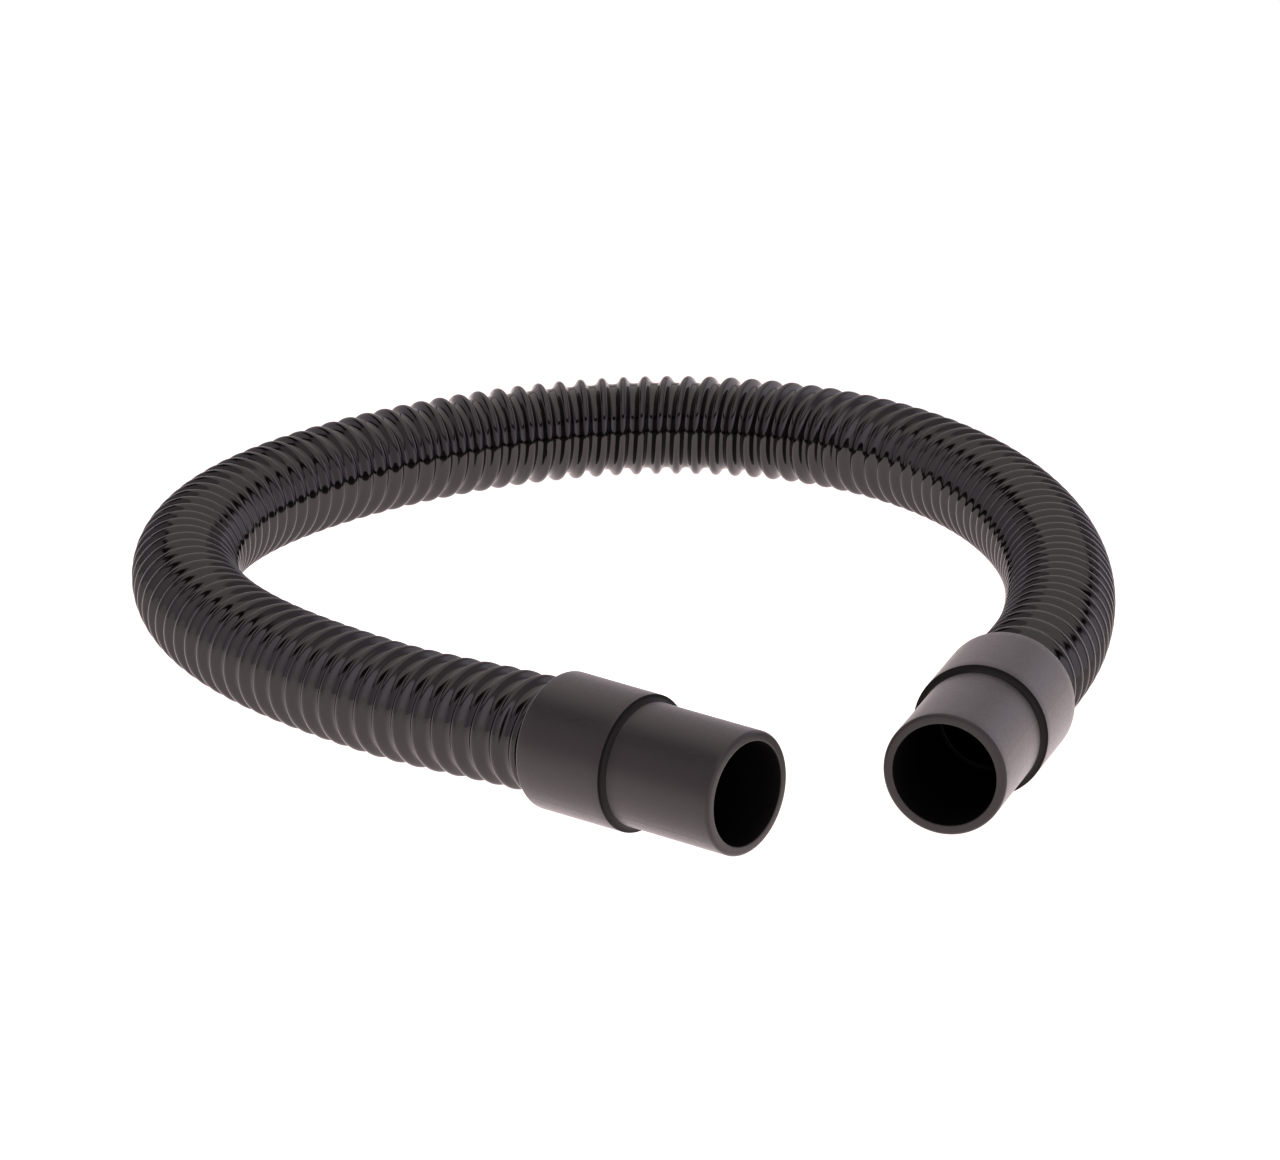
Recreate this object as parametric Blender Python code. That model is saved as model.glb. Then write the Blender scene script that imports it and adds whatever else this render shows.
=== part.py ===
"""Vacuum hose, 1.5 in bore, lying in an open C on a flat surface.

One corrugated hose between two swivel cuffs. The hose is one piece of tube on the real object; here it is
cut square into eight lengths, so that it can bend at four places. Each cuff is a turned shell with a
narrow spigot and a wide sleeve. Inside the sleeve a threaded insert is screwed on the hose's end, and a
retaining ring in the sleeve's rear rebate keeps the insert in, so the cuff turns round the hose.

Metres, +Z up. The origin is the middle of the bounding box's base. Both mouths look towards -Y.
"""

import math

import bmesh
import bpy
import numpy as np
from mathutils import Matrix, Vector

# ---------------------------------------------------------------- driving dimensions
BORE_R = 0.0190  # 38 mm bore through each cuff
HOSE_R = 0.0217  # over the crests of the rib
HOSE_BORE_R = 0.0184  # inside the hose, which hugs its wire between the ribs
HOSE_VISIBLE = 1.0210  # along the centreline, between the two cuffs' rear faces
HOSE_LENGTHS = 8
GAP = 0.0003

SPIGOT_LEN = 0.0473
SPIGOT_R_MOUTH = 0.02275
SPIGOT_R_BASE = 0.02285
SLEEVE_LEN = 0.0382
SLEEVE_R_FRONT = 0.02540
SLEEVE_R_REAR = 0.02565
CUFF_LEN = SPIGOT_LEN + SLEEVE_LEN

CHAMBER_R = 0.0234  # the swivel chamber inside the sleeve
CHAMBER_FROM = 0.0580  # measured from the mouth
REBATE_R = 0.0245
REBATE_FROM = 0.0825

INSERT_R = 0.0231
INSERT_BORE_R = 0.0220
INSERT_FROM = 0.0583
INSERT_LIP = 0.0020  # the hose's cut end butts against this lip
INSERT_TO = 0.0822

RING_R = 0.0242
RING_BORE_R = 0.0221
RING_FROM = 0.0828
RING_TO = 0.0852

HOSE_END = INSERT_FROM + INSERT_LIP + GAP  # where the hose stops, from the mouth
TUCKED = CUFF_LEN - HOSE_END  # length of hose inside each cuff

# the lay: the left cuff's mouth, the way it looks, and how the hose curves from there to the right cuff
LEFT_MOUTH = (0.04546, -0.23315)
LEFT_AZIMUTH = math.radians(50.63)  # from -Y towards +X
CURVATURE = (0.41, -1.40, -4.80, -5.97, -5.94, -3.86, -4.95, -7.84, -6.62, -3.98, -3.07, -2.45, -0.68)  # per metre
RISE = 0.090  # the hose climbs from the surface to the cuff's axis over this length

TUBE_SIDES = 20
TUBE_STEP = 0.0150
TURN_STEPS = 40


# ---------------------------------------------------------------- the route
def natural_spline(values, step):
    """Second derivatives of the natural cubic spline through evenly spaced values."""
    n = len(values)
    a, b = np.eye(n), np.zeros(n)
    for i in range(1, n - 1):
        a[i, i - 1 : i + 2] = step / 6, 2 * step / 3, step / 6
        b[i] = (values[i + 1] - 2 * values[i] + values[i - 1]) / step
    return np.linalg.solve(a, b)


def curvature_at(s):
    """Plan curvature of the centreline at distance s from the left cuff."""
    k = np.array(CURVATURE)
    step = HOSE_VISIBLE / (len(k) - 1)
    m = natural_spline(k, step)
    s = np.clip(s, 0, HOSE_VISIBLE)
    i = np.minimum((s / step).astype(int), len(k) - 2)
    u = (s - i * step) / step
    return (
        (1 - u) * k[i]
        + u * k[i + 1]
        + step**2 / 6 * (((1 - u) ** 3 - (1 - u)) * m[i] + (u**3 - u) * m[i + 1])
    )


def smooth(t):
    t = np.clip(t, 0, 1)
    return t * t * (3 - 2 * t)


def make_route(n=4084):
    """Distance, points and plan heading along the hose, from the left cuff's rear face to the right cuff's."""
    s = np.linspace(0, HOSE_VISIBLE, n + 1)
    h = s[1] - s[0]
    mid = (s[1:] + s[:-1]) / 2
    k, km = curvature_at(s), curvature_at(mid)
    ax = math.sin(LEFT_AZIMUTH), -math.cos(LEFT_AZIMUTH)
    start = math.atan2(-ax[1], -ax[0])
    head = start + np.r_[0, np.cumsum(h * (k[:-1] + 4 * km + k[1:]) / 6)]
    hm = head[:-1] + h / 4 * (k[:-1] + km)
    x = np.r_[0, np.cumsum(h * (np.cos(head[:-1]) + 4 * np.cos(hm) + np.cos(head[1:])) / 6)]
    y = np.r_[0, np.cumsum(h * (np.sin(head[:-1]) + 4 * np.sin(hm) + np.sin(head[1:])) / 6)]
    x = x + LEFT_MOUTH[0] - ax[0] * CUFF_LEN
    y = y + LEFT_MOUTH[1] - ax[1] * CUFF_LEN
    lift = SLEEVE_R_REAR - HOSE_R
    z = HOSE_R + lift * (1 - smooth(s / RISE)) + lift * (1 - smooth((HOSE_VISIBLE - s) / RISE))
    return s, np.c_[x, y, z], head


ROUTE_S, ROUTE_P, ROUTE_HEAD = make_route()


def place(s):
    """Point and unit tangent at distance s. Past either end the route runs straight on along the cuff's axis."""
    if s < 0 or s > HOSE_VISIBLE:
        end = 0 if s < 0 else -1
        t = Vector((math.cos(ROUTE_HEAD[end]), math.sin(ROUTE_HEAD[end]), 0))
        return Vector(ROUTE_P[end]) + t * (s if s < 0 else s - HOSE_VISIBLE), t
    p = Vector([float(np.interp(s, ROUTE_S, ROUTE_P[:, i])) for i in range(3)])
    head = float(np.interp(s, ROUTE_S, ROUTE_HEAD))
    d = 0.0005
    a, b = (float(np.interp(v, ROUTE_S, ROUTE_P[:, 2])) for v in (s - d, s + d))
    t = Vector((math.cos(head), math.sin(head), (b - a) / (2 * d)))
    return p, t.normalized()


HOSE_FROM, HOSE_TO = -TUCKED, HOSE_VISIBLE + TUCKED
HOSE_TOTAL = HOSE_TO - HOSE_FROM
PIECE = HOSE_TOTAL / HOSE_LENGTHS


# ---------------------------------------------------------------- building blocks
def new_object(name, bm, material, pivot, parent):
    """An object whose origin is at pivot, from a bmesh in world coordinates."""
    bmesh.ops.recalc_face_normals(bm, faces=bm.faces[:])
    if bm.calc_volume(signed=True) < 0:
        bmesh.ops.reverse_faces(bm, faces=bm.faces[:])
    bmesh.ops.translate(bm, verts=bm.verts[:], vec=-Vector(pivot))
    mesh = bpy.data.meshes.new(name)
    bm.to_mesh(mesh)
    bm.free()
    mesh.shade_smooth()
    mesh.set_sharp_from_angle(angle=math.radians(35))
    mesh.materials.append(material)
    obj = bpy.data.objects.new(name, mesh)
    obj.location = pivot
    bpy.context.scene.collection.objects.link(obj)
    bpy.context.view_layer.update()
    if parent:
        obj.parent = parent
        obj.matrix_parent_inverse = parent.matrix_world.inverted()
    return obj


def swept_tube(name, s0, s1, outer, inner, material, pivot, parent):
    """A plain tube along the route from s0 to s1, its ends cut square to the route."""
    bm = bmesh.new()
    rings = max(2, round((s1 - s0) / TUBE_STEP)) + 1
    loops = []
    for s in np.linspace(s0, s1, rings):
        p, t = place(float(s))
        side = t.cross(Vector((0, 0, 1))).normalized()
        up = side.cross(t)
        turn = [2 * math.pi * i / TUBE_SIDES for i in range(TUBE_SIDES)]
        loops.append(
            [
                [bm.verts.new(p + r * (math.cos(a) * side + math.sin(a) * up)) for a in turn]
                for r in (outer, inner)
            ]
        )
    for i in range(TUBE_SIDES):
        j = (i + 1) % TUBE_SIDES
        for (o0, n0), (o1, n1) in zip(loops, loops[1:]):
            bm.faces.new((o0[i], o0[j], o1[j], o1[i]))
            bm.faces.new((n0[j], n0[i], n1[i], n1[j]))
        for o, n in (loops[0], loops[-1]):
            bm.faces.new((o[i], n[i], n[j], o[j]))
    return new_object(name, bm, material, pivot, parent)


def turned(name, profile, material, mouth, axis, parent):
    """A turned piece: profile is a closed outline of (distance back from the mouth, radius)."""
    bm = bmesh.new()
    side = axis.cross(Vector((0, 0, 1))).normalized()
    verts = [bm.verts.new(Vector(mouth) - axis * u + side * r) for u, r in profile]
    edges = [bm.edges.new((verts[i], verts[(i + 1) % len(verts)])) for i in range(len(verts))]
    bmesh.ops.spin(
        bm, geom=verts + edges, cent=mouth, axis=axis, angle=2 * math.pi, steps=TURN_STEPS, use_duplicate=False
    )
    bmesh.ops.remove_doubles(bm, verts=bm.verts[:], dist=1e-6)
    return new_object(name, bm, material, mouth, parent)


def empty(name, location, parent=None):
    e = bpy.data.objects.new(name, None)
    e.empty_display_size = 0.03
    e.location = location
    bpy.context.scene.collection.objects.link(e)
    bpy.context.view_layer.update()
    if parent:
        e.parent = parent
        e.matrix_parent_inverse = parent.matrix_world.inverted()
        bpy.context.view_layer.update()
    return e


def principled(name, colour, roughness, metallic=0.0):
    m = bpy.data.materials.new(name)
    m.use_nodes = True
    b = m.node_tree.nodes["Principled BSDF"]
    b.inputs["Base Color"].default_value = (*colour, 1)
    b.inputs["Roughness"].default_value = roughness
    b.inputs["Metallic"].default_value = metallic
    m.diffuse_color = (*colour, 1)
    return m


def arc(cu, cr, r, a0, a1, n):
    """Points of a rounded corner, centre (cu, cr), from angle a0 to a1 in degrees."""
    return [
        (cu + r * math.cos(math.radians(a)), cr + r * math.sin(math.radians(a)))
        for a in (a0 + (a1 - a0) * i / n for i in range(n + 1))
    ]


# outlines, as (distance back from the mouth, radius), outside first and then back through the bore
SHELL = (
    arc(0.0013, SPIGOT_R_MOUTH - 0.0013, 0.0013, 180, 90, 3)  # rounded mouth edge
    + [(SPIGOT_LEN - 0.0008, SPIGOT_R_BASE), (SPIGOT_LEN, SPIGOT_R_BASE + 0.0006)]  # fillet into the shoulder
    + arc(SPIGOT_LEN + 0.0006, SLEEVE_R_FRONT - 0.0006, 0.0006, 180, 90, 2)  # shoulder edge
    + arc(CUFF_LEN - 0.0008, SLEEVE_R_REAR - 0.0008, 0.0008, 90, 0, 2)  # rear edge
    + [
        (CUFF_LEN, REBATE_R),
        (REBATE_FROM, REBATE_R),
        (REBATE_FROM, CHAMBER_R),
        (CHAMBER_FROM, CHAMBER_R),
        (CHAMBER_FROM, BORE_R),
        (0.0004, BORE_R),
        (0.0, BORE_R + 0.0004),
    ]
)
INSERT = [
    (INSERT_FROM, INSERT_R - 0.0004),
    (INSERT_FROM + 0.0004, INSERT_R),
    (INSERT_TO, INSERT_R),
    (INSERT_TO, INSERT_BORE_R),
    (INSERT_FROM + INSERT_LIP, INSERT_BORE_R),
    (INSERT_FROM + INSERT_LIP, BORE_R),
    (INSERT_FROM, BORE_R),
]
RING = [
    (RING_FROM, RING_R),
    (RING_TO - 0.0004, RING_R),
    (RING_TO, RING_R - 0.0004),
    (RING_TO, RING_BORE_R + 0.0004),
    (RING_TO - 0.0004, RING_BORE_R),
    (RING_FROM, RING_BORE_R),
]

# the four places where the hose bends, each at the middle of a quarter of the hose
BEND_S = [HOSE_FROM + PIECE * i for i in (1, 3, 5, 7)]


def main():
    for obj in list(bpy.data.objects):
        bpy.data.objects.remove(obj, do_unlink=True)

    black_pvc = principled("hose_black_pvc", (0.012, 0.011, 0.011), 0.22)
    dark_grey = principled("cuff_dark_grey", (0.055, 0.050, 0.052), 0.55)
    insert_black = principled("insert_black", (0.020, 0.019, 0.019), 0.45)
    ring_black = principled("ring_black", (0.030, 0.028, 0.029), 0.50)

    bends = [place(s)[0] for s in BEND_S]
    rear = empty("rear_axis", place(HOSE_VISIBLE / 2)[0])
    left = empty("left_bend_axis", bends[1], rear)
    left_end = empty("left_end_bend_axis", bends[0], left)
    right = empty("right_bend_axis", bends[2], rear)
    right_end = empty("right_end_bend_axis", bends[3], right)

    lengths = [
        ("hose_left_end", left_end),
        ("hose_left_run", left),
        ("hose_left_bend", left),
        ("hose_rear_left", rear),
        ("hose_rear_right", rear),
        ("hose_right_bend", right),
        ("hose_right_run", right),
        ("hose_right_end", right_end),
    ]
    for i, (name, parent) in enumerate(lengths):
        s0, s1 = HOSE_FROM + PIECE * i, HOSE_FROM + PIECE * (i + 1)
        s0 += GAP / 2 if i else 0
        s1 -= GAP / 2 if i < HOSE_LENGTHS - 1 else 0
        swept_tube(name, s0, s1, HOSE_R, HOSE_BORE_R, black_pvc, parent.matrix_world.translation, parent)

    for side, parent in (("left", left_end), ("right", right_end)):
        end, tangent = place(0.0 if side == "left" else HOSE_VISIBLE)
        axis = -tangent if side == "left" else tangent
        axis = Vector((axis.x, axis.y, 0)).normalized()
        mouth = end + axis * CUFF_LEN
        swivel = empty(f"{side}_cuff_swivel_axis", mouth, parent)
        turned(f"{side}_insert", INSERT, insert_black, mouth, axis, parent)
        turned(f"{side}_cuff_shell", SHELL, dark_grey, mouth, axis, swivel)
        turned(f"{side}_retaining_ring", RING, ring_black, mouth, axis, swivel)


main()
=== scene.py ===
"""The looks of the vacuum hose: camera and light, the ribbed hose skin, the moulded cuffs and their materials.

Metres, in the CAD model's frame: +Z up, the floor at z = 0, both mouths looking towards -Y.
"""

import math

import bpy
import numpy as np
from mathutils import Matrix, Vector


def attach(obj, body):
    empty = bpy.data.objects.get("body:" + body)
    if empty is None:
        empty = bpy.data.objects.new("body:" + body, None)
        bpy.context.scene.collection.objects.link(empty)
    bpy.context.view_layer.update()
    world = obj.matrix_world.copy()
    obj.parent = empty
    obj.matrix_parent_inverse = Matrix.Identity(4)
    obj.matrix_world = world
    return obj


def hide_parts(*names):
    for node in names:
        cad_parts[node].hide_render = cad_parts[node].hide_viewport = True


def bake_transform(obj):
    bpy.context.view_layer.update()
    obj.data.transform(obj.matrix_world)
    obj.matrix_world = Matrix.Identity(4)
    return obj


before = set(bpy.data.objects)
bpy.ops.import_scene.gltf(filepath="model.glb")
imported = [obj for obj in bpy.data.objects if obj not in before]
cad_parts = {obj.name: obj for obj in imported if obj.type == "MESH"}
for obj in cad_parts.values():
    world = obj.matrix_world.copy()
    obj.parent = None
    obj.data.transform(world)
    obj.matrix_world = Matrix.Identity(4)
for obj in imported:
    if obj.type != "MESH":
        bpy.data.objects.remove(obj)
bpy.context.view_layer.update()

# ---------------------------------------------------------------- dimensions, as in the CAD model
BORE_R = 0.0190
HOSE_R = 0.0217
HOSE_BORE_R = 0.0184
HOSE_VISIBLE = 1.0210
HOSE_LENGTHS = 8
SPIGOT_LEN = 0.0473
SPIGOT_R_MOUTH = 0.02275
SPIGOT_R_BASE = 0.02285
SLEEVE_LEN = 0.0382
SHOULDER_R = 0.0022
SLEEVE_R_FRONT = 0.02540
SLEEVE_R_REAR = 0.02565
CUFF_LEN = SPIGOT_LEN + SLEEVE_LEN
CHAMBER_R = 0.0234
CHAMBER_FROM = 0.0580
REBATE_R = 0.0245
REBATE_FROM = 0.0825
INSERT_R = 0.0231
INSERT_BORE_R = 0.0220
INSERT_FROM = 0.0583
INSERT_LIP = 0.0020
INSERT_TO = 0.0822
RING_R = 0.0242
RING_BORE_R = 0.0221
RING_FROM = 0.0828
RING_TO = 0.0852
HOSE_END = INSERT_FROM + INSERT_LIP + 0.0003
TUCKED = CUFF_LEN - HOSE_END
LEFT_MOUTH = (0.04546, -0.23315)
LEFT_AZIMUTH = math.radians(50.63)
CURVATURE = (0.41, -1.40, -4.80, -5.97, -5.94, -3.86, -4.95, -7.84, -6.62, -3.98, -3.07, -2.45, -0.68)
RISE = 0.090

# the rib: a left-handed single helix, its pitch in mm at evenly spaced places along the hose
RIB_PITCH = (
    (9.24, 9.35, 9.52, 8.66, 8.96, 8.95, 9.21, 9.38, 9.17, 9.01, 9.35, 9.32, 9.40)
    + (9.33, 9.04, 9.00, 9.09, 9.03, 9.16, 8.98, 8.56, 8.34, 10.28, 11.75, 11.66)
)
RIB_PHASE_AT = (0.540, 0.7634)  # distance along the hose, and turns there
RIB_LEAN = (0.06, 0.06, 0.03, 0.05, 0.04, 0.02, 0.17, 0.19, 0.07, 0.06, 0.03, 0.0, 0.0)  # in turns, at evenly spaced places along the hose
LEAN_SIDE = math.radians(8.4)
CREST_R = 0.0019  # radius of the rounded crest, over the wire
FLANK = math.radians(55)
FOOT_R = 0.0017  # radius where the flank runs into the web
SLACK = math.radians(8)  # slope where the web starts
RIB_DEPTH = 0.0029
SIDES = 96
OUT_OF_CUFF = 0.006  # how far past the cuff's edge the hose starts to bend


# ---------------------------------------------------------------- the route, as in the CAD model
def natural_spline(values, step):
    n = len(values)
    a, b = np.eye(n), np.zeros(n)
    for i in range(1, n - 1):
        a[i, i - 1 : i + 2] = step / 6, 2 * step / 3, step / 6
        b[i] = (values[i + 1] - 2 * values[i] + values[i - 1]) / step
    return np.linalg.solve(a, b)


def spline_at(values, s, length):
    """Natural cubic spline through values spaced evenly over 0..length, at s."""
    k = np.array(values)
    step = length / (len(k) - 1)
    m = natural_spline(k, step)
    s = np.clip(s, 0, length)
    i = np.minimum((s / step).astype(int), len(k) - 2)
    u = (s - i * step) / step
    return (
        (1 - u) * k[i]
        + u * k[i + 1]
        + step**2 / 6 * (((1 - u) ** 3 - (1 - u)) * m[i] + (u**3 - u) * m[i + 1])
    )


def smooth(t):
    t = np.clip(t, 0, 1)
    return t * t * (3 - 2 * t)


def make_route(n=4084):
    s = np.linspace(0, HOSE_VISIBLE, n + 1)
    h = s[1] - s[0]
    mid = (s[1:] + s[:-1]) / 2
    k, km = spline_at(CURVATURE, s, HOSE_VISIBLE), spline_at(CURVATURE, mid, HOSE_VISIBLE)
    ax = math.sin(LEFT_AZIMUTH), -math.cos(LEFT_AZIMUTH)
    start = math.atan2(-ax[1], -ax[0])
    head = start + np.r_[0, np.cumsum(h * (k[:-1] + 4 * km + k[1:]) / 6)]
    hm = head[:-1] + h / 4 * (k[:-1] + km)
    x = np.r_[0, np.cumsum(h * (np.cos(head[:-1]) + 4 * np.cos(hm) + np.cos(head[1:])) / 6)]
    y = np.r_[0, np.cumsum(h * (np.sin(head[:-1]) + 4 * np.sin(hm) + np.sin(head[1:])) / 6)]
    x = x + LEFT_MOUTH[0] - ax[0] * CUFF_LEN
    y = y + LEFT_MOUTH[1] - ax[1] * CUFF_LEN
    lift = SLEEVE_R_REAR - HOSE_R
    z = HOSE_R + lift * (1 - smooth(s / RISE)) + lift * (1 - smooth((HOSE_VISIBLE - s) / RISE))
    return s, np.c_[x, y, z], head


ROUTE_S, ROUTE_P, ROUTE_HEAD = make_route()
HOSE_FROM, HOSE_TO = -TUCKED, HOSE_VISIBLE + TUCKED
PIECE = (HOSE_TO - HOSE_FROM) / HOSE_LENGTHS


def place(s):
    """Points, tangents, side vectors and up vectors of the centreline at distances s."""
    s = np.atleast_1d(np.asarray(s, float))
    inside = np.clip(s, 0, HOSE_VISIBLE)
    p = np.stack([np.interp(inside, ROUTE_S, ROUTE_P[:, i]) for i in range(3)], 1)
    head = np.interp(inside, ROUTE_S, ROUTE_HEAD)
    d = 0.0005
    dz = (np.interp(inside + d, ROUTE_S, ROUTE_P[:, 2]) - np.interp(inside - d, ROUTE_S, ROUTE_P[:, 2])) / (2 * d)
    dz[(s < d) | (s > HOSE_VISIBLE - d)] = 0
    t = np.stack([np.cos(head), np.sin(head), dz], 1)
    p = p + t * (s - inside)[:, None]
    t /= np.linalg.norm(t, axis=1, keepdims=True)
    side = np.cross(t, (0, 0, 1.0))
    side /= np.linalg.norm(side, axis=1, keepdims=True)
    return p, t, side, np.cross(side, t)


# ---------------------------------------------------------------- camera
CAMERA_PITCH = math.radians(18.558)
CAMERA_AIM = Vector((0.007725, 0.078378, 0.0))
CAMERA_DISTANCE = 1.981538

camera = bpy.data.objects.new("camera", bpy.data.cameras.new("camera"))
bpy.context.scene.collection.objects.link(camera)
camera.data.sensor_width = 36.0
camera.data.lens = 36.0 * 4800 / 1280
camera.data.clip_end = 50
forward = Vector((0, math.cos(CAMERA_PITCH), -math.sin(CAMERA_PITCH)))
camera.location = CAMERA_AIM - forward * CAMERA_DISTANCE
camera.rotation_mode = "QUATERNION"
camera.rotation_quaternion = forward.to_track_quat("-Z", "Y")
bpy.context.scene.camera = camera


# ---------------------------------------------------------------- the rib
def rib_half():
    """From the crest out to the foot of the rib: distance along the hose and depth below the crest.

    Three runs, each tangent to the next: the round crest, the straight flank and the round foot.
    """
    sin, cos = math.sin(FLANK), math.cos(FLANK)
    flank = (RIB_DEPTH - CREST_R * (1 - cos) - FOOT_R * (math.cos(SLACK) - cos)) / math.tan(FLANK)
    x, d = [], []
    for i in range(6):
        q = FLANK * i / 5
        x.append(CREST_R * math.sin(q))
        d.append(CREST_R * (1 - math.cos(q)))
    x0, d0 = x[-1] + flank, d[-1] + flank * math.tan(FLANK)
    x.append((x[-1] + x0) / 2)
    d.append((d[-1] + d0) / 2)
    for i in range(5):
        q = FLANK + (SLACK - FLANK) * i / 4
        x.append(x0 + FOOT_R * (sin - math.sin(q)))
        d.append(d0 + FOOT_R * (math.cos(q) - cos))
    return np.array(x), np.array(d)


RIB_X, RIB_D = rib_half()


def rib_phase_table():
    s = np.linspace(HOSE_FROM - 0.04, HOSE_TO + 0.04, 8001)
    pitch = spline_at(RIB_PITCH, s - HOSE_FROM, HOSE_TO - HOSE_FROM) / 1000
    turns = np.r_[0, np.cumsum(np.diff(s) * 2 / (pitch[:-1] + pitch[1:]))]
    return s, turns - np.interp(RIB_PHASE_AT[0], s, turns) + RIB_PHASE_AT[1]


PHASE_S, PHASE_TURNS = rib_phase_table()


def crest_at(turn, angle):
    """Distance along the hose of the crest of a turn, at an angle round the hose. The helix is left-handed.

    The rings lean a little: the side facing the curve's inside trails the rest.
    """
    s = np.interp(turn + angle / (2 * math.pi), PHASE_TURNS, PHASE_S)
    lean = spline_at(RIB_LEAN, s - HOSE_FROM, HOSE_TO - HOSE_FROM)
    return np.interp(turn + angle / (2 * math.pi) - lean * np.cos(angle - LEAN_SIDE), PHASE_TURNS, PHASE_S)


def ribbed_skin(s0, s1):
    """Rows of vertices that follow the helix, cut off square at s0 and s1.

    Returns (s, angle, radius) of every vertex, and the faces. The first SIDES vertices are the ring at s0
    and the next SIDES the ring at s1.
    """
    lo, hi = (float(np.interp(q, PHASE_S, PHASE_TURNS)) for q in (s0, s1))
    turns = np.arange(math.floor(lo) - 2, math.ceil(hi) + 2)[:, None]
    angle = (np.arange(SIDES) * 2 * math.pi / SIDES)[None, :]
    here, after = crest_at(turns, angle), crest_at(turns + 1, angle)
    # the surface is longer than the centreline outside the bend and shorter inside it
    stretch = 1 + spline_at(CURVATURE, here, HOSE_VISIBLE) * (HOSE_R - RIB_DEPTH / 2) * np.cos(angle)
    # where the rib is crowded its flanks steepen
    stretch = np.maximum(stretch, RIB_X[-1] / (0.485 * (after - here)))
    foot = RIB_X[-1] / stretch
    web = (after - here) / 2 - foot
    sag = np.clip(web * stretch * math.tan(SLACK) / 2, 0, 0.0002)
    rows, radii = [], []
    for x, d in zip(RIB_X, RIB_D):
        rows.append(here + x / stretch)
        radii.append(np.broadcast_to(HOSE_R - d, here.shape))
    for f in (0.5, 1.0, 1.5):
        rows.append(here + foot + web * f)
        radii.append(HOSE_R - RIB_D[-1] - sag * (1 - (f - 1) ** 2))
    for x, d in zip(RIB_X[:0:-1], RIB_D[:0:-1]):
        rows.append(after - x / stretch)
        radii.append(np.broadcast_to(HOSE_R - d, here.shape))
    n = len(rows)
    s = np.stack(rows, 1).reshape(-1, SIDES)
    r = np.stack(radii, 1).reshape(-1, SIDES)
    near = 0.00006
    before, beyond = s <= s0 + near, s >= s1 - near
    inside = ~before & ~beyond
    column = np.broadcast_to(np.arange(SIDES), s.shape)
    ids = np.where(before, column, column + SIDES)
    ids[inside] = np.arange(inside.sum()) + 2 * SIDES
    ring = [[np.interp(q, s[:, k], r[:, k]) for k in range(SIDES)] for q in (s0, s1)]
    a = angle[0]
    verts = np.concatenate(
        [
            np.c_[np.full(SIDES, s0), a, ring[0]],
            np.c_[np.full(SIDES, s1), a, ring[1]],
            np.c_[s[inside], np.broadcast_to(a, s.shape)[inside], r[inside]],
        ]
    )
    right = np.c_[ids[:, 1:], np.full(len(ids), SIDES)]
    right[: len(ids) - n, -1] = ids[n:, 0]
    quads = np.stack([ids[:-1], ids[1:], right[1:], right[:-1]], -1).reshape(-1, 4).tolist()
    faces = []
    for q in quads:
        f = [v for i, v in enumerate(q) if v != q[i - 1]]
        if len(f) > 2 and max(f) >= 2 * SIDES:
            faces.append(f)
    return verts, faces


def grid_faces(rows, cols, offset, flip):
    i, j = np.meshgrid(np.arange(rows - 1), np.arange(cols), indexing="ij")
    a = offset + i * cols + j
    b = offset + i * cols + (j + 1) % cols
    c, d = b + cols, a + cols
    f = np.stack([a, b, c, d] if not flip else [a, d, c, b], -1)
    return f.reshape(-1, 4)


def mesh_object(name, verts, faces, material, sharp=None):
    mesh = bpy.data.meshes.new(name)
    mesh.from_pydata(np.asarray(verts).tolist(), [], [list(map(int, f)) for f in faces])
    mesh.update()
    mesh.shade_smooth()
    if sharp:
        mesh.set_sharp_from_angle(angle=math.radians(sharp))
    mesh.materials.append(material)
    obj = bpy.data.objects.new(name, mesh)
    bpy.context.scene.collection.objects.link(obj)
    return obj


def hose_quarter(name, i, material):
    """The i-th quarter of the hose: a closed tube with the rib outside and a plain bore."""
    s0, s1 = HOSE_FROM + 2 * PIECE * i, HOSE_FROM + 2 * PIECE * (i + 1)
    grid, faces = ribbed_skin(s0, s1)
    first, last = np.arange(SIDES), np.arange(SIDES) + SIDES
    p, t, side, up = place(grid[:, 0])
    a, r = grid[:, 1], grid[:, 2]
    outer = p + r[:, None] * (np.cos(a)[:, None] * side + np.sin(a)[:, None] * up)
    rows = 40
    p, t, side, up = place(np.linspace(s0, s1, rows))
    a = np.arange(SIDES) * 2 * math.pi / SIDES
    around = np.cos(a)[None, :, None] * side[:, None, :] + np.sin(a)[None, :, None] * up[:, None, :]
    inner = p[:, None, :] + HOSE_BORE_R * around
    base = len(outer)
    faces += grid_faces(rows, SIDES, base, False).tolist()
    end = base + (rows - 1) * SIDES
    for j in range(SIDES):
        k = (j + 1) % SIDES
        faces.append([first[j], first[k], base + k, base + j])
        faces.append([last[k], last[j], end + j, end + k])
    obj = mesh_object(name, np.concatenate([outer, inner.reshape(-1, 3)]), faces, material, sharp=60)
    return obj, s0, s1


def ring_at(s):
    """Points round the outside of the hose, square across it at s."""
    p, t, side, up = (x[0] for x in place(s))
    a = np.linspace(0, 2 * math.pi, 48)[:, None]
    return p + HOSE_R * (np.cos(a) * side + np.sin(a) * up)


# ---------------------------------------------------------------- turned pieces
def arc(cu, cr, r, a0, a1, n):
    return [
        (cu + r * math.cos(math.radians(a)), cr + r * math.sin(math.radians(a)))
        for a in (a0 + (a1 - a0) * i / n for i in range(n + 1))
    ]


def subdivided(profile, step):
    """The closed outline with long runs cut into pieces of about step."""
    out = []
    for (u0, r0), (u1, r1) in zip(profile, profile[1:] + profile[:1]):
        n = max(1, int(math.hypot(u1 - u0, r1 - r0) / step))
        out += [(u0 + (u1 - u0) * i / n, r0 + (r1 - r0) * i / n) for i in range(n)]
    return out


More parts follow.
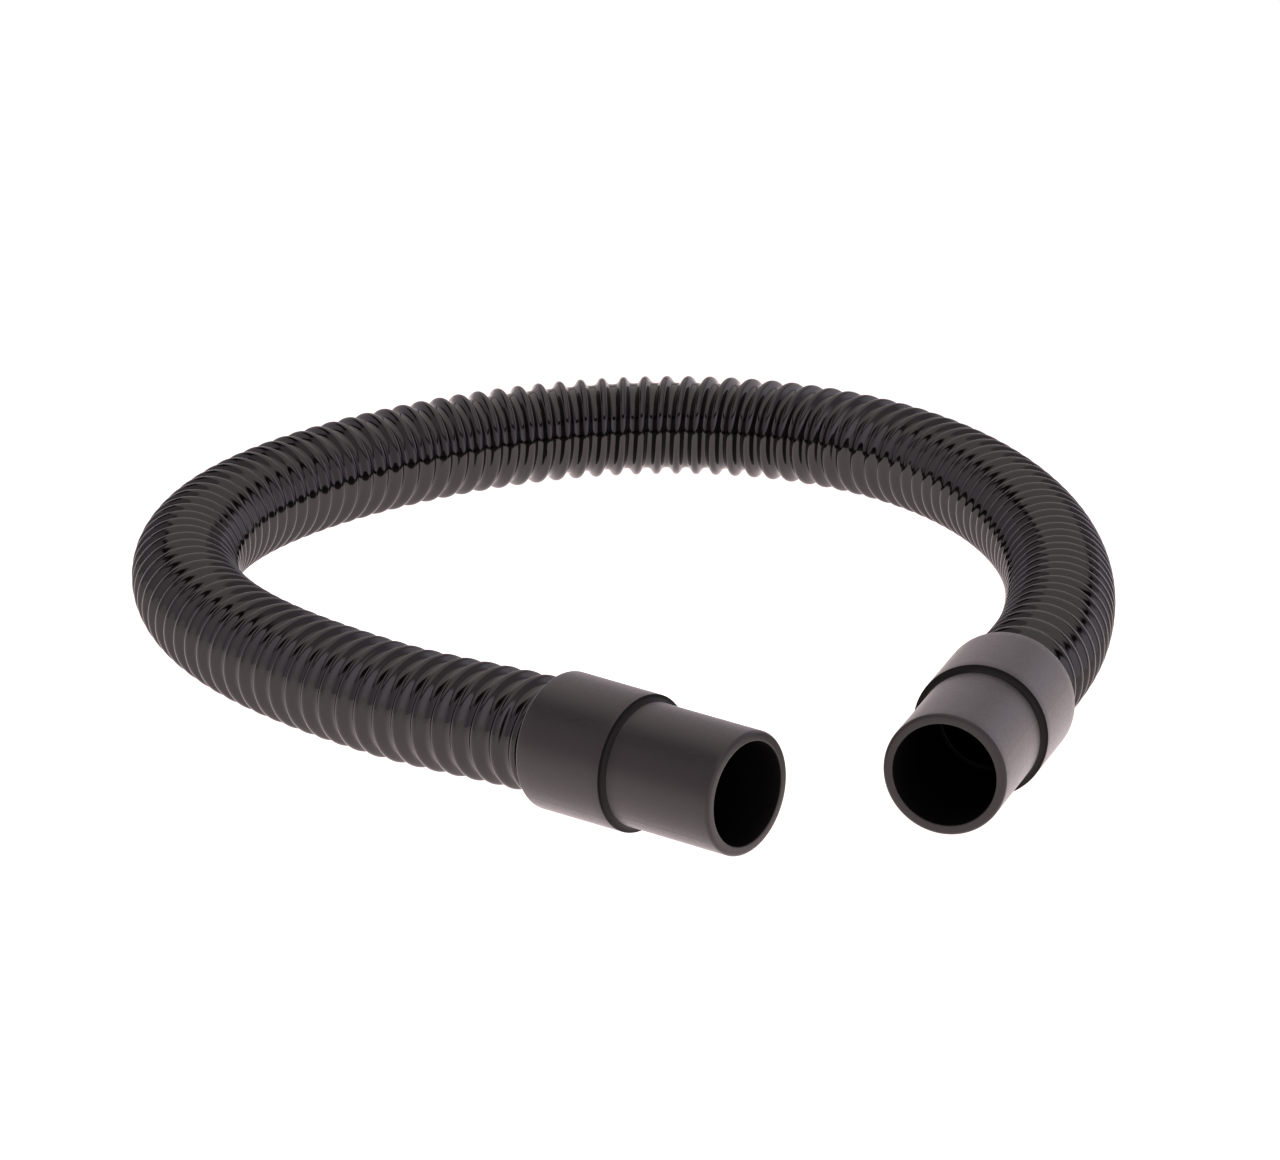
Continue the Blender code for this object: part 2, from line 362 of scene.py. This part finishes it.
def turned(name, profile, mouth, axis, material, sides=160, sharp=30, bump=None):
    """A turned piece. profile is its closed outline in (distance back from the mouth, radius)."""
    axis = np.array(axis, float)
    side = np.cross(axis, (0, 0, 1.0))
    side /= np.linalg.norm(side)
    up = np.cross(side, axis)
    prof = np.array(profile)
    angle = np.arange(sides) * 2 * math.pi / sides
    around = np.cos(angle)[:, None] * side + np.sin(angle)[:, None] * up
    radius = np.repeat(prof[:, 1][:, None], sides, 1)
    if bump:
        radius = radius + bump(prof[:, 0][:, None], prof[:, 1][:, None], angle[None, :])
    v = np.asarray(mouth)[None, None, :] - prof[:, 0][:, None, None] * axis + radius[:, :, None] * around[None]
    n = len(prof)
    i, j = np.meshgrid(np.arange(n), np.arange(sides), indexing="ij")
    a, b = i * sides + j, i * sides + (j + 1) % sides
    c, d = ((i + 1) % n) * sides + (j + 1) % sides, ((i + 1) % n) * sides + j
    obj = mesh_object(name, v.reshape(-1, 3), np.stack([a, b, c, d], -1).reshape(-1, 4), material, sharp)
    outward(obj)
    return obj


def outward(obj):
    """Faces point out of the solid."""
    mesh = obj.data
    mesh.calc_loop_triangles()
    co = np.empty(len(mesh.vertices) * 3)
    mesh.vertices.foreach_get("co", co)
    co = co.reshape(-1, 3)
    tri = np.empty(len(mesh.loop_triangles) * 3, int)
    mesh.loop_triangles.foreach_get("vertices", tri)
    a, b, c = (co[tri.reshape(-1, 3)[:, k]] for k in range(3))
    if np.einsum("ij,ij->i", a, np.cross(b, c)).sum() < 0:
        mesh.flip_normals()


# ---------------------------------------------------------------- materials
def node_material(name):
    m = bpy.data.materials.new(name)
    m.use_nodes = True
    tree = m.node_tree
    return m, tree, tree.nodes["Principled BSDF"]


def add(tree, kind, **inputs):
    n = tree.nodes.new(kind)
    for k, v in inputs.items():
        n.inputs[k.replace("_", " ")].default_value = v
    return n


def noise(tree, scale, detail=3.0, rough=0.5):
    n = add(tree, "ShaderNodeTexNoise", Scale=scale, Detail=detail, Roughness=rough)
    coord = tree.nodes.new("ShaderNodeTexCoord")
    tree.links.new(coord.outputs["Object"], n.inputs["Vector"])
    return n


def remap(tree, socket, lo, hi, from_lo=0.3, from_hi=0.7):
    n = tree.nodes.new("ShaderNodeMapRange")
    n.inputs["From Min"].default_value, n.inputs["From Max"].default_value = from_lo, from_hi
    n.inputs["To Min"].default_value, n.inputs["To Max"].default_value = lo, hi
    tree.links.new(socket, n.inputs["Value"])
    return n.outputs["Result"]


def mix_colour(tree, factor, a, b):
    n = tree.nodes.new("ShaderNodeMix")
    n.data_type = "RGBA"
    for name, c in (("A", a), ("B", b)):
        if isinstance(c, tuple):
            n.inputs[name].default_value = (*c, 1)
        else:
            tree.links.new(c, n.inputs[name])
    tree.links.new(factor, n.inputs["Factor"])
    return n.outputs["Result"]


def value(tree, operation, *terms):
    n = tree.nodes.new("ShaderNodeMath")
    n.operation = operation
    for socket, term in zip(n.inputs, terms):
        if isinstance(term, float):
            socket.default_value = term
        else:
            tree.links.new(term, socket)
    return n.outputs[0]


def bump(tree, bsdf, layers):
    """Chains bump nodes. layers are (height socket, strength, distance in metres)."""
    before = None
    for height, strength, distance in layers:
        n = tree.nodes.new("ShaderNodeBump")
        n.inputs["Strength"].default_value = strength
        n.inputs["Distance"].default_value = distance
        tree.links.new(height, n.inputs["Height"])
        if before:
            tree.links.new(before, n.inputs["Normal"])
        before = n.outputs["Normal"]
    tree.links.new(before, bsdf.inputs["Normal"])


def black_pvc():
    m, tree, bsdf = node_material("hose_black_pvc")
    cloud = noise(tree, 60, 3)
    fine = noise(tree, 900, 2)
    tree.links.new(
        mix_colour(tree, cloud.outputs["Fac"], (0.0012, 0.0010, 0.0010), (0.0020, 0.0016, 0.0016)),
        bsdf.inputs["Base Color"],
    )
    tree.links.new(remap(tree, cloud.outputs["Fac"], 0.05, 0.10), bsdf.inputs["Roughness"])
    bsdf.inputs["IOR"].default_value = 1.52
    bump(tree, bsdf, [(cloud.outputs["Fac"], 0.10, 0.0004), (fine.outputs["Fac"], 0.05, 0.00005)])
    return m


def cuff_plastic(name, grain, rough):
    """Matte moulded plastic. grain is how deep its spark-eroded texture is."""
    m, tree, bsdf = node_material(name)
    cloud = noise(tree, 45, 4)
    grit = noise(tree, 1900, 3, 0.6)
    coarse = noise(tree, 750, 2)
    tree.links.new(
        mix_colour(tree, cloud.outputs["Fac"], (0.0076, 0.0062, 0.0066), (0.0106, 0.0087, 0.0093)),
        bsdf.inputs["Base Color"],
    )
    tree.links.new(remap(tree, coarse.outputs["Fac"], rough - 0.05, rough + 0.05), bsdf.inputs["Roughness"])
    bsdf.inputs["IOR"].default_value = 1.50
    bump(tree, bsdf, [(grit.outputs["Fac"], grain, 0.00006), (coarse.outputs["Fac"], grain * 0.6, 0.00008)])
    return m


HOSE_MATERIAL = black_pvc()
CUFF_MATERIAL = cuff_plastic("cuff_matte_grey", 0.30, 0.40)
CUFF_MATERIAL.node_tree.nodes["Principled BSDF"].inputs["Sheen Weight"].default_value = 0.50
CUFF_MATERIAL.node_tree.nodes["Principled BSDF"].inputs["Sheen Roughness"].default_value = 0.35
# Painted shade: a copy of the cuff plastic about four times darker and less reflective (IOR 1.30), laid on the
# bore and the shoulder step where shadow falls
PAINTED_SHADE_MATERIAL, shade_tree, shade = node_material("cuff_bore_and_shoulder_painted_shade")
shade_cloud = noise(shade_tree, 45, 4)
shade_grit = noise(shade_tree, 1500, 3, 0.6)
painted_shade_tint = mix_colour(shade_tree, shade_cloud.outputs["Fac"], (0.0016, 0.0013, 0.0013), (0.0026, 0.0021, 0.0022))
shade_tree.links.new(painted_shade_tint, shade.inputs["Base Color"])
shade_tree.links.new(remap(shade_tree, shade_cloud.outputs["Fac"], 0.42, 0.52), shade.inputs["Roughness"])
shade.inputs["IOR"].default_value = 1.30
bump(shade_tree, shade, [(shade_grit.outputs["Fac"], 0.2, 0.00005)])
INNER_MATERIAL = cuff_plastic("insert_black", 0.12, 0.38)

# ---------------------------------------------------------------- the hose
QUARTERS = [
    ("hose_skin_left_end", ("hose_left_end", "hose_left"), ("hose_left_end", "hose_left_run")),
    ("hose_skin_left_bend", ("hose_left", "hose_rear"), ("hose_left_bend", "hose_rear_left")),
    ("hose_skin_right_bend", ("hose_rear", "hose_right"), ("hose_rear_right", "hose_right_bend")),
    ("hose_skin_right_end", ("hose_right", "hose_right_end"), ("hose_right_run", "hose_right_end")),
]
for index, (name, (body_a, body_b), nodes) in enumerate(QUARTERS):
    skin, s0, s1 = hose_quarter(name, index, HOSE_MATERIAL)
    path = place(np.linspace(s0, s1, 60))[0]
    # lo and hi: how far the end rings just outside the cuffs reach along the chord from the middle;
    # they are worked out but not used, and the skin is not attached to any body
    chord = path[-1] - path[0]
    chord[2] = 0
    chord /= np.linalg.norm(chord)
    middle = place((s0 + s1) / 2)[0][0]
    lo = float(((ring_at(max(s0, OUT_OF_CUFF)) - middle) @ chord).max()) + 0.001
    hi = float(((ring_at(min(s1, HOSE_VISIBLE - OUT_OF_CUFF)) - middle) @ chord).min()) - 0.001
    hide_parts(*nodes)
    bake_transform(skin)

# ---------------------------------------------------------------- the cuffs
SHELL = subdivided(
    arc(0.0014, SPIGOT_R_MOUTH - 0.0014, 0.0014, 180, 90, 8)
    + [(SPIGOT_LEN - SHOULDER_R, SPIGOT_R_BASE)]
    + arc(SPIGOT_LEN - SHOULDER_R, SPIGOT_R_BASE + SHOULDER_R, SHOULDER_R, 270, 360, 8)[1:]
    + arc(SPIGOT_LEN + 0.0003, SLEEVE_R_FRONT - 0.0003, 0.0003, 180, 90, 4)
    + arc(CUFF_LEN - 0.0011, SLEEVE_R_REAR - 0.0011, 0.0011, 90, 0, 6)
    + [
        (CUFF_LEN, REBATE_R + 0.0003),
        (CUFF_LEN - 0.0003, REBATE_R),
        (REBATE_FROM, REBATE_R),
        (REBATE_FROM, CHAMBER_R),
        (CHAMBER_FROM, CHAMBER_R),
        (CHAMBER_FROM, BORE_R),
    ]
    + arc(0.0005, BORE_R + 0.0005, 0.0005, 270, 180, 4),
    0.004,
)
INSERT = (
    arc(INSERT_FROM + 0.0004, INSERT_R - 0.0004, 0.0004, 180, 90, 3)
    + [
        (INSERT_TO, INSERT_R),
        (INSERT_TO, INSERT_BORE_R),
        (INSERT_FROM + INSERT_LIP, INSERT_BORE_R),
        (INSERT_FROM + INSERT_LIP, BORE_R),
    ]
    + arc(INSERT_FROM + 0.0005, BORE_R + 0.0005, 0.0005, 270, 180, 4)
)
RING = (
    [(RING_FROM, RING_BORE_R), (RING_FROM, RING_R)]
    + arc(RING_TO - 0.0005, RING_R - 0.0005, 0.0005, 90, 0, 4)
    + arc(RING_TO - 0.0005, RING_BORE_R + 0.0005, 0.0005, 0, -90, 4)
)


def parting_line(at):
    """A fine raised line along the outside of the cuff, where the two halves of its mould met."""

    def raised(u, r, angle):
        across = np.minimum(abs((angle - at) % math.pi), math.pi - abs((angle - at) % math.pi)) * r
        line = 0.00007 * np.exp(-((across / 0.00035) ** 2))
        return np.where((r > BORE_R + 0.002) & (u > 0.003) & (u < CUFF_LEN - 0.002) & (r > SPIGOT_R_MOUTH - 0.0002), line, 0)

    return raised


def paint_shade_on_bore_and_shoulder(piece, mouth, axis):
    """The bore and the front face of the shoulder get a darker, less shiny and less grainy copy of the plastic:
    painted shade for the shadow inside the bore and on the step. The outside keeps the textured plastic.
    """
    piece.data.materials.append(PAINTED_SHADE_MATERIAL)
    axis, mouth = Vector(axis), Vector(mouth)
    for face in piece.data.polygons:
        back = (mouth - face.center).dot(axis)
        radius = (face.center - mouth + axis * back).length
        shoulder = SPIGOT_LEN - SHOULDER_R * 0.9 < back < SPIGOT_LEN + 0.0002 and radius > BORE_R + 0.002
        if radius < BORE_R + 0.0002 or shoulder:
            face.material_index = 1


for side in ("left", "right"):
    end, tangent = (x[0] for x in place(0.0 if side == "left" else HOSE_VISIBLE)[:2])
    axis = -tangent if side == "left" else tangent
    axis[2] = 0
    axis /= np.linalg.norm(axis)
    mouth = end + axis * CUFF_LEN
    line_at = math.radians(-38 if side == "left" else 160)
    pieces = [
        (f"{side}_cuff_moulding", SHELL, CUFF_MATERIAL, f"{side}_cuff", f"{side}_cuff_shell", "cuff", parting_line(line_at)),
        (f"{side}_insert_moulding", INSERT, INNER_MATERIAL, f"hose_{side}_end", f"{side}_insert", "insert", None),
        (f"{side}_ring_moulding", RING, INNER_MATERIAL, f"{side}_cuff", f"{side}_retaining_ring", "ring", None),
    ]
    for name, profile, material, body, node, slot, raised in pieces:
        piece = turned(name, profile, mouth, axis, material, sides=240 if raised else 160, bump=raised)
        if raised:
            paint_shade_on_bore_and_shoulder(piece, mouth, axis)
        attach(piece, body)
        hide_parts(node)

# ---------------------------------------------------------------- floor and light
floor_mesh = bpy.data.meshes.new("floor")
floor_mesh.from_pydata([(-8, -8, 0), (8, -8, 0), (8, 8, 0), (-8, 8, 0)], [], [(0, 1, 2, 3)])
floor = bpy.data.objects.new("floor", floor_mesh)
floor.location.z = -0.0004
bpy.context.scene.collection.objects.link(floor)
m, tree, bsdf = node_material("floor_white_painted_glow")
bsdf.inputs["Base Color"].default_value = (0.30, 0.29, 0.29, 1)
bsdf.inputs["Roughness"].default_value = 0.9
bsdf.inputs["Specular IOR Level"].default_value = 0.0
# Painted light: the floor glows like a table lit from below. Its glow is brightest near the hose and fades further
# out, a painted pool of light that also washes out the hose's shadow
bsdf.inputs["Emission Color"].default_value = (1.0, 0.86, 0.85, 1)
coord = tree.nodes.new("ShaderNodeTexCoord")
reach = tree.nodes.new("ShaderNodeVectorMath")
reach.operation = "DISTANCE"
reach.inputs[1].default_value = (0.0, 0.0, 0.0)
tree.links.new(coord.outputs["Object"], reach.inputs[0])
tree.links.new(remap(tree, reach.outputs["Value"], 1.45, 0.97, 0.14, 0.40), bsdf.inputs["Emission Strength"])
floor_mesh.materials.append(m)

# an overhead light tent: a bright panel, a dark gap round it, and pale walls
world = bpy.data.worlds.new("studio")
bpy.context.scene.world = world
world.use_nodes = True
tree = world.node_tree
tree.nodes.clear()
out = tree.nodes.new("ShaderNodeOutputWorld")
lit = tree.nodes.new("ShaderNodeBackground")
tree.links.new(lit.outputs[0], out.inputs[0])
coord = tree.nodes.new("ShaderNodeTexCoord")
split = tree.nodes.new("ShaderNodeSeparateXYZ")
tree.links.new(coord.outputs["Generated"], split.inputs[0])
dx, dy, dz = split.outputs
height = value(tree, "MAXIMUM", dz, 0.02)
across = value(tree, "ABSOLUTE", value(tree, "DIVIDE", dx, height))
along = value(tree, "DIVIDE", dy, height)


def inside(half_width, front, back, soft):
    """1 inside a rectangle overhead, falling to 0 over a soft edge."""
    x = remap(tree, across, 1, 0, half_width - soft, half_width + soft)
    y0 = remap(tree, along, 0, 1, front - soft, front + soft)
    y1 = remap(tree, along, 1, 0, back - 4 * soft, back + 4 * soft)
    return value(tree, "MULTIPLY", x, value(tree, "MULTIPLY", y0, y1))


turn = value(tree, "ARCTAN2", dx, value(tree, "MULTIPLY", dy, -1.0))
walls = tree.nodes.new("ShaderNodeValToRGB")
tree.links.new(remap(tree, turn, 0, 1, -math.pi, math.pi), walls.inputs[0])
stops = [
    (-180, (0.72, 0.63, 0.65)),
    (-140, (0.80, 0.70, 0.75)),
    (-95, (0.70, 0.60, 0.67)),
    (-64, (0.63, 0.52, 0.59)),
    (-30, (0.92, 0.77, 0.83)),
    (6, (1.07, 0.89, 0.98)),
    (32, (1.50, 1.35, 1.50)),
    (56, (1.50, 1.35, 1.50)),
    (74, (0.55, 0.45, 0.58)),
    (92, (0.60, 0.50, 0.63)),
    (109, (1.25, 1.15, 1.29)),
    (180, (0.72, 0.63, 0.65)),
]
while len(walls.color_ramp.elements) < len(stops):
    walls.color_ramp.elements.new(0.5)
for e, (at, colour) in zip(walls.color_ramp.elements, stops):
    e.position, e.color = (at + 180) / 360, (*colour, 1)
panel = mix_colour(tree, remap(tree, along, 0, 1, 0.0, 3.0), (1.20, 1.05, 1.05), (0.72, 0.62, 0.62))
gap = (0.020, 0.016, 0.018)
sky = mix_colour(tree, inside(1.30, -1.32, 3.4, 0.12), walls.outputs[0], (0.60, 0.52, 0.57))
left_gap = value(tree, "MULTIPLY", inside(1.40, -0.05, 0.95, 0.08), remap(tree, dx, 1, 0, -0.02, 0.02))
sky = mix_colour(tree, left_gap, sky, gap)
sky = mix_colour(tree, inside(0.80, -1.35, -0.85, 0.05), sky, gap)
sky = mix_colour(tree, inside(0.62, -1.0, 2.6, 0.05), sky, panel)
sky = mix_colour(tree, inside(0.90, 2.35, 2.90, 0.05), sky, (0.07, 0.06, 0.065))
tree.links.new(sky, lit.inputs["Color"])
lit.inputs["Strength"].default_value = 1.0

bpy.context.scene.view_settings.view_transform = "Standard"
bpy.context.scene.view_settings.look = "None"
